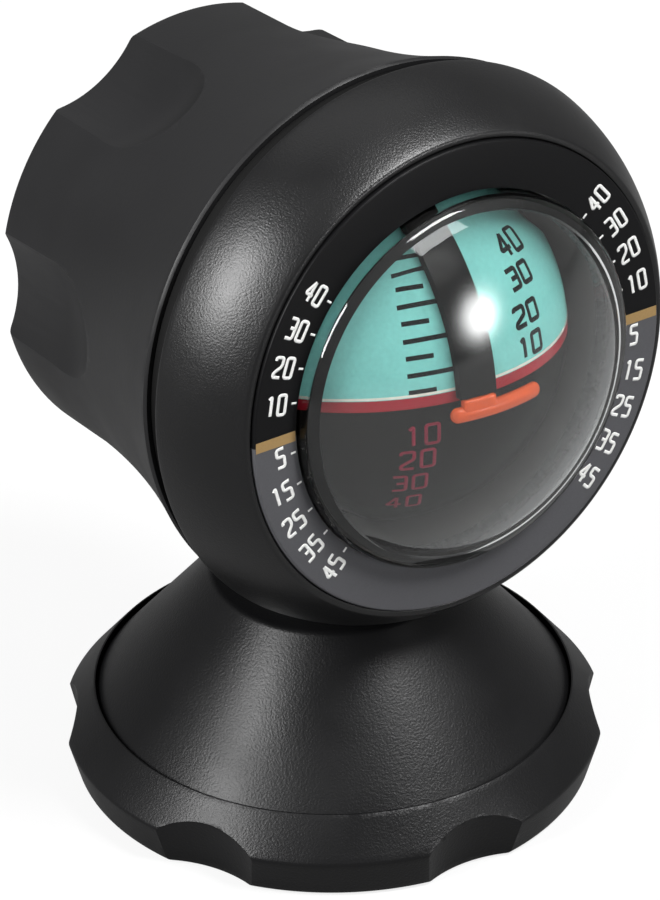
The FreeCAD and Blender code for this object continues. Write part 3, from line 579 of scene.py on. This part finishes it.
def styrene_or_ink(name, colour, roughness=0.4, grain=0.25, sheen=0.2):
    """Styrene, or ink printed on it: an even colour, slightly mottled where it is thinner."""
    material, tree = new_material(name)
    place = add_node(tree, "ShaderNodeTexCoord")
    mottle = add_node(tree, "ShaderNodeTexNoise",
                          {"Scale": 1 / (grain * MILLIMETRE), "Detail": 2.0},
                          {"Vector": place.outputs["Object"]})
    tone = add_node(tree, "ShaderNodeMix", {"data_type": "RGBA"},
                    {"Factor": mottle.outputs[0]})
    red, green, blue, alpha = linear(colour)
    tone.inputs[6].default_value = (red * 0.9, green * 0.9, blue * 0.9, alpha)
    tone.inputs[7].default_value = (min(1, red * 1.1), min(1, green * 1.1),
                                    min(1, blue * 1.1), alpha)
    dent = add_node(tree, "ShaderNodeBump", {"Strength": 0.2, "Distance": 0.00001},
                    {"Height": mottle.outputs[0]})
    skin = add_node(tree, "ShaderNodeBsdfPrincipled",
                    {"Roughness": roughness, "Specular IOR Level": sheen},
                    {"Base Color": tone.outputs[2], "Normal": dent.outputs[0]})
    add_node(tree, "ShaderNodeOutputMaterial", None, {"Surface": skin.outputs[0]})
    return material


dial_black = styrene_or_ink("black_styrene", "#0E0E0F", 0.38, sheen=0.12)
dial_grey = styrene_or_ink("grey_ink", "#515154", 0.5, sheen=0.1)
tan_ink = styrene_or_ink("tan_ink", "#957A50", 0.5)
white_ink = styrene_or_ink("white_ink", "#E4E4E2", 0.5)

ring_face = 18.1
ring_shape = turn_outline([
    (24.3, 16.7), (30.9, 16.7), (30.9, 17.1), (30.4, 17.1), (30.4, ring_face),
    (24.3, ring_face)], rounds=[((30.4, ring_face), 0.28)], turns=240)
for face in ring_shape.faces:
    face.material_index = 1 if face.calc_center_median().y < 0 else 0
scale_ring = make_object("scale_ring", ring_shape, dial_black)
scale_ring.data.materials.append(dial_grey)
smooth(scale_ring)
settle(scale_ring, head, "head", "dial_ring", "dial_ring")

# Each numeral is strokes through the points of a 4 by 6 cell.
STROKES = {
    "0": [[(0, 0), (4, 0), (4, 6), (0, 6), (0, 0)]],
    "1": [[(1.1, 5.0), (2.4, 6), (2.4, 0)]],
    "2": [[(0, 5), (0, 6), (4, 6), (4, 3.4), (0, 1.2), (0, 0), (4, 0)]],
    "3": [[(0, 6), (4, 6), (4, 0), (0, 0)], [(1.2, 3.1), (4, 3.1)]],
    "4": [[(3.0, 0), (3.0, 6)], [(3.0, 6), (0, 2.0), (4.4, 2.0)]],
    "5": [[(4, 6), (0, 6), (0, 3.4), (4, 3.4), (4, 0), (0, 0)]],
    "-": [[(0, 3), (4, 3)]],
}


def draw_strokes(text, height, width, stroke, gap, ink, fineness=4, corner=0.3):
    """Printed characters as flat inked strokes with soft corners, in millimetres, centred on
    the origin and standing proud of it by the ink's thickness."""
    curve = bpy.data.curves.new("strokes", "CURVE")
    curve.dimensions = "3D"
    curve.twist_mode = "Z_UP"
    curve.bevel_depth = stroke / 2
    curve.bevel_resolution = 1
    curve.use_fill_caps = True
    curve.resolution_u = fineness
    advance = width + gap
    start = -(advance * len(text) - gap) / 2
    for number, letter in enumerate(text):
        for path in STROKES[letter]:
            spots = [Vector((start + number * advance + x * width / 4,
                             y * height / 6 - height / 2, 0)) for x, y in path]
            closed = path[0] == path[-1]
            if closed:
                spots = spots[:-1]
            knots = []
            for place, spot in enumerate(spots):
                if not closed and place in (0, len(spots) - 1):
                    knots.append((spot, spot, spot))
                    continue
                before = spots[place - 1] - spot
                after = spots[(place + 1) % len(spots)] - spot
                cut_before = before.normalized() * min(corner, before.length / 2.1)
                cut_after = after.normalized() * min(corner, after.length / 2.1)
                knots.append((spot + cut_before, spot + cut_before, spot + cut_before * 0.45))
                knots.append((spot + cut_after, spot + cut_after * 0.45, spot + cut_after))
            spline = curve.splines.new("BEZIER")
            spline.bezier_points.add(len(knots) - 1)
            spline.use_cyclic_u = closed
            for point, (spot, left, right) in zip(spline.bezier_points, knots):
                point.handle_left_type = "FREE"
                point.handle_right_type = "FREE"
                point.co = spot
                point.handle_left = left
                point.handle_right = right
    holder = bpy.data.objects.new("strokes", curve)
    scene.collection.objects.link(holder)
    bpy.context.view_layer.update()
    graph = bpy.context.evaluated_depsgraph_get()
    mesh = bpy.data.meshes.new_from_object(holder.evaluated_get(graph))
    bpy.data.objects.remove(holder)
    bpy.data.curves.remove(curve)
    made = bmesh.new()
    made.from_mesh(mesh)
    bpy.data.meshes.remove(mesh)
    bmesh.ops.scale(made, verts=made.verts, vec=(1, 1, 2 * ink / stroke))
    return made


def gather(target, source, place):
    """Adds a copy of one bmesh, put in its place, to another, and frees it."""
    bmesh.ops.transform(source, verts=source.verts, matrix=place)
    mesh = bpy.data.meshes.new("part")
    source.to_mesh(mesh)
    source.free()
    target.from_mesh(mesh)
    bpy.data.meshes.remove(mesh)


ink_height = 0.03
long_numeral_reach, short_numeral_reach, tick_reach = 27.5, 26.75, 24.9
numbers_shape = bmesh.new()
for side in (-1, 1):
    for value in (10, 20, 30, 40, -5, -15, -25, -35, -45):
        lean = math.radians(value * side)
        text = str(abs(value))
        numeral = draw_strokes(text, height=2.5, width=1.05, stroke=0.45, gap=0.62, ink=ink_height)
        middle = side * (long_numeral_reach if len(text) == 2 else short_numeral_reach)
        gather(numbers_shape, numeral, Matrix.Rotation(lean, 4, "Z")
               @ Matrix.Translation((middle, 0, ring_face)))
        tick = draw_strokes("-", height=1.0, width=0.7, stroke=0.3, gap=0.0, ink=ink_height)
        gather(numbers_shape, tick, Matrix.Rotation(lean, 4, "Z")
               @ Matrix.Translation((side * tick_reach, 0, ring_face)))
scale_numbers = make_object("scale_numbers", numbers_shape, white_ink)
settle(scale_numbers, head, "head", "dial_ring")

bar_reach, bar_length, bar_width = 27.3, 5.7, 1.35
marks_shape = bmesh.new()
for side in (-1, 1):
    bar = bmesh.new()
    bmesh.ops.create_cube(bar, size=1.0)
    gather(marks_shape, bar,
           Matrix.Translation((side * bar_reach, 0.0, ring_face + ink_height / 2))
           @ Matrix.Diagonal((bar_length, bar_width, ink_height, 1)))
zero_marks = make_object("zero_marks", marks_shape, tan_ink)
settle(zero_marks, head, "head", "dial_ring")

# Bowl behind the ball: grey-brown polystyrene, moulded, with a satin inside.
# A rubber cord seals it to the lens, and has the closing plate's plain finish.

bowl_plastic = moulded("grey_brown_styrene", "#4A4642", "#565049", 0.4, 0.9, 0.01, 0.1)
bowl_shape = turn_outline([
    (3.05, -32.2), (5.0, -32.2), (5.0, -26.838), (0, 0, -79.44), (27.3, 13.7), (30.9, 13.7),
    (30.9, 15.2), (26.0, 15.2), (26.0, 0), (0, 0, 83.26)], arc_step=3)
capsule = make_object("capsule_bowl_turned", bowl_shape, bowl_plastic)
smooth(capsule)
settle(capsule, head, "head", "capsule_bowl", "capsule_bowl")
finish_node("lens_gasket", plain_abs)

# Clear cover: acrylic, injection moulded and polished, with a short wall,
# a rounded shoulder and a shallow dome.


def clear_plastic():
    """Polished acrylic: clear with a faint cool tint, and very smooth, with waves in
    its gloss about 11 mm across."""
    material, tree = new_material("clear_acrylic")
    place = add_node(tree, "ShaderNodeTexCoord")
    wave = add_node(tree, "ShaderNodeTexNoise", {"Scale": 90.0, "Detail": 1.0},
                    {"Vector": place.outputs["Object"]})
    tone = add_node(tree, "ShaderNodeMapRange", {"To Min": 0.015, "To Max": 0.05},
                    {"Value": wave.outputs[0]})
    skin = add_node(tree, "ShaderNodeBsdfPrincipled",
                    {"Base Color": linear("#FBFEFE"), "IOR": 1.49, "Transmission Weight": 1.0,
                     "Specular IOR Level": 0.2},
                    {"Roughness": tone.outputs[0]})
    add_node(tree, "ShaderNodeOutputMaterial", None, {"Surface": skin.outputs[0]})
    return material


# The dome runs into the shoulder's round without a corner. Each pass brings its angle closer.
cover_radius, cover_wall, inside_radius = 24.1, 1.4, 21.2
wall_top, shoulder_round, dome_top = 19.3, 1.6, 27.9
dome_turn = 34.0
for _ in range(20):
    dome_edge_radius = cover_radius - shoulder_round * (1 - math.sin(math.radians(dome_turn)))
    dome_rise = dome_top - wall_top - shoulder_round * math.cos(math.radians(dome_turn))
    dome_turn = 2 * math.degrees(math.atan(dome_rise / dome_edge_radius))
dome_radius = dome_edge_radius / math.sin(math.radians(dome_turn))
dome_centre = dome_top - dome_radius
inner_turn = math.degrees(math.asin(inside_radius / (dome_radius - cover_wall)))
inner_low = dome_centre + (dome_radius - cover_wall) * math.cos(math.radians(inner_turn))
lens_outline = [
    (0, dome_top - cover_wall), (0, dome_top), (0, dome_centre, dome_turn),
    (cover_radius - shoulder_round, wall_top, 90 - dome_turn),
    (cover_radius, 16.7), (30.9, 16.7), (30.9, 15.2), (22.7, 15.2), (22.7, inner_low - 1.5),
    (inside_radius, inner_low), (0, dome_centre, -inner_turn),
]
lens_shape = turn_outline(lens_outline, closed=False, arc_step=2)
clear_lens = make_object("clear_lens", lens_shape, clear_plastic())
smooth(clear_lens, 40)
settle(clear_lens, head, "head", "lens", "lens")

# The dark line round the inside of the cover is painted shade: a thin black bead in the corner
# under the shoulder, against the clear plastic, stands in for the dark band there.

bead_shape = turn_outline([
    (22.05, inner_low - 0.75), (22.8, inner_low - 1.45), (22.6, inner_low - 1.85),
    (21.8, inner_low - 1.1)])
# Painted shade: this black bead darkens the band round the inside of the cover.
painted_shade_bead = make_object("painted_shade_bead", bead_shape, plain_abs)
smooth(painted_shade_bead)
settle(painted_shade_bead, head, "head", "lens_gasket")

# Roll gimbal: a black styrene ring and hoops round the ball, hung on a steel axle
# and weighted with brass, so that its arm and orange index stay upright.

arm_black = styrene_or_ink("gloss_black_styrene", "#0A0908", 0.24, sheen=0.03)
finish_node("roll_frame", arm_black)
finish_node("pointer_arm", arm_black)
orange = styrene_or_ink("orange_styrene", "#E4571B", 0.25, sheen=0.3)


def wrap_on_ball(shape, radius, east=0.0, north=0.0):
    """Wraps a flat shape round the ball's centre at that radius, with its middle at that
    longitude and latitude. Its own z stays its height over that radius."""
    for vert in shape.verts:
        x, y, z = vert.co
        vert.co = Vector((math.sin(x / radius) * math.cos(y / radius), math.sin(y / radius),
                          math.cos(x / radius) * math.cos(y / radius))) * (radius + z)
    turn = (Matrix.Rotation(math.radians(east), 4, "Y")
            @ Matrix.Rotation(math.radians(-north), 4, "X"))
    bmesh.ops.transform(shape, verts=shape.verts, matrix=turn)


def slice_along(shape, low, high, step):
    """Cuts a shape across its length, so that it can bend."""
    spot = low + step
    while spot < high:
        bmesh.ops.bisect_plane(shape, geom=shape.verts[:] + shape.edges[:] + shape.faces[:],
                               plane_co=(spot, 0, 0), plane_no=(1, 0, 0))
        spot += step


index_reach, index_radius, index_drop = 5.5, 25.15, 0.5
index_shape = bmesh.new()
bmesh.ops.create_uvsphere(index_shape, u_segments=40, v_segments=24, radius=1.0,
                          matrix=Matrix.Rotation(math.radians(90), 4, "Y"))
for vert in index_shape.verts:
    if abs(vert.co.x) > 0.01:
        vert.co.x += math.copysign(index_reach, vert.co.x)
bmesh.ops.scale(index_shape, verts=index_shape.verts, vec=(1, 1, 0.75))
slice_along(index_shape, -index_reach, index_reach, step=0.6)
stem_length, stem_width, stem_thickness = 4.4, 1.9, 1.2
stem_shape = bmesh.new()
bmesh.ops.create_cube(stem_shape, size=1.0,
                      matrix=Matrix.Diagonal((stem_length, stem_width, stem_thickness, 1)))
bmesh.ops.bevel(stem_shape, geom=stem_shape.edges[:], offset=0.35, offset_type="OFFSET",
                segments=4, profile=0.5, affect="EDGES", material=-1)
slice_along(stem_shape, -stem_length / 2, stem_length / 2, step=0.55)
gather(index_shape, stem_shape, Matrix.Translation((-2.8, 0.95, 0.05)))
wrap_on_ball(index_shape, index_radius, north=math.degrees(-index_drop / index_radius))
orange_index = make_object("orange_index", index_shape, orange)
smooth(orange_index, 40)
settle(orange_index, head, "gimbal", "pointer", "pointer")

# Ball: two hollow styrene halves, teal above and dark brown below, clamped on a
# red band. The pitch scale is pad printed on it.

ball_radius, ball_inside, half_band, card_lean = 23.8, 22.6, 0.7, 3.4
card = head @ Matrix.Rotation(math.radians(-card_lean), 4, "X")
to_side = Matrix.Rotation(math.radians(-90), 4, "X")
teal = styrene_or_ink("teal_styrene", "#86CFC7", 0.35, 0.5, sheen=0.03)
brown = styrene_or_ink("brown_black_styrene", "#12100D", 0.35, 0.5, sheen=0.01)
red_styrene = styrene_or_ink("red_styrene", "#A01526", 0.3, 0.5)
white_line = styrene_or_ink("white_line", "#E8E4D8", 0.4, 0.5)
band_angle = math.degrees(math.acos(half_band / ball_radius))
inside_angle = math.degrees(math.acos(half_band / ball_inside))

for name, node, finish, flip in (("teal_half", "ball_upper", teal, 0),
                                 ("brown_half", "ball_lower", brown, 180)):
    half_shape = turn_outline([
        (0, ball_inside), (0, ball_radius), (0, 0, band_angle), (22.58, half_band),
        (0, 0, -inside_angle)], closed=False, arc_step=2)
    ball_half = make_object(name, half_shape, finish)
    smooth(ball_half)
    settle(ball_half, card @ to_side @ Matrix.Rotation(math.radians(flip), 4, "X"), "card",
           node, node)

band_shape = turn_outline([
    (23.785, -half_band), (ball_radius, 0), (23.785, half_band), (22.5, half_band),
    (22.4, 2.2), (20.9, 2.2), (20.9, -2.2), (22.4, -2.2), (22.5, -half_band)])
band = make_object("red_band", band_shape, red_styrene)
smooth(band)
settle(band, card @ to_side, "card", "horizon_band", "horizon_band")

line_shape = turn_outline([(23.79, 0.8), (23.83, 0.8), (23.82, 1.1), (23.77, 1.1)])
line = make_object("white_horizon_line", line_shape, white_line)
settle(line, card @ to_side, "card", "horizon_band")

# The ticks stand a little below even steps of 5 degrees, to match the photograph.
tick_west, long_tick_east, short_tick_east, tick_drop = -25.5, -9.0, -17.3, 1.7
black_ink = styrene_or_ink("black_ink", "#0A0F0F", 0.4, sheen=0.05)
dull_red_ink = styrene_or_ink("dull_red_ink", "#8A2038", 0.4, sheen=0.05)
print_shape = bmesh.new()
for number in range(1, 10):
    east_end = short_tick_east if number % 2 else long_tick_east
    length = (east_end - tick_west) * math.radians(ball_radius)
    tick = draw_strokes("-", height=1.0, width=length, stroke=0.58, gap=0, ink=ink_height,
                        fineness=16)
    wrap_on_ball(tick, ball_radius, (east_end + tick_west) / 2, 5 * number - tick_drop)
    gather(print_shape, tick, Matrix.Identity(4))
for value, east, north, tall in ((10, 17.2, 6.8, 2.4), (20, 18.5, 15.9, 2.3),
                                 (30, 21.8, 26.6, 2.4), (40, 26.0, 36.2, 3.0)):
    numeral = draw_strokes(str(value), height=tall, width=1.75, stroke=0.6, gap=0.85,
                           ink=ink_height, fineness=6)
    wrap_on_ball(numeral, ball_radius, east, north)
    gather(print_shape, numeral, Matrix.Identity(4))
upper_print = make_object("upper_pitch_scale", print_shape, black_ink)
settle(upper_print, card, "card", "ball_upper")

low_shape = bmesh.new()
for value, east, north in ((10, -22.0, -10.8), (20, -23.3, -19.6), (30, -25.5, -29.3),
                           (40, -27.0, -39.8)):
    numeral = draw_strokes(str(value), height=2.7, width=1.6, stroke=0.45, gap=0.9,
                           ink=ink_height, fineness=6)
    wrap_on_ball(numeral, ball_radius, east, north)
    gather(low_shape, numeral, Matrix.Identity(4))
lower_print = make_object("lower_pitch_scale", low_shape, dull_red_ink)
settle(lower_print, card, "card", "ball_lower")
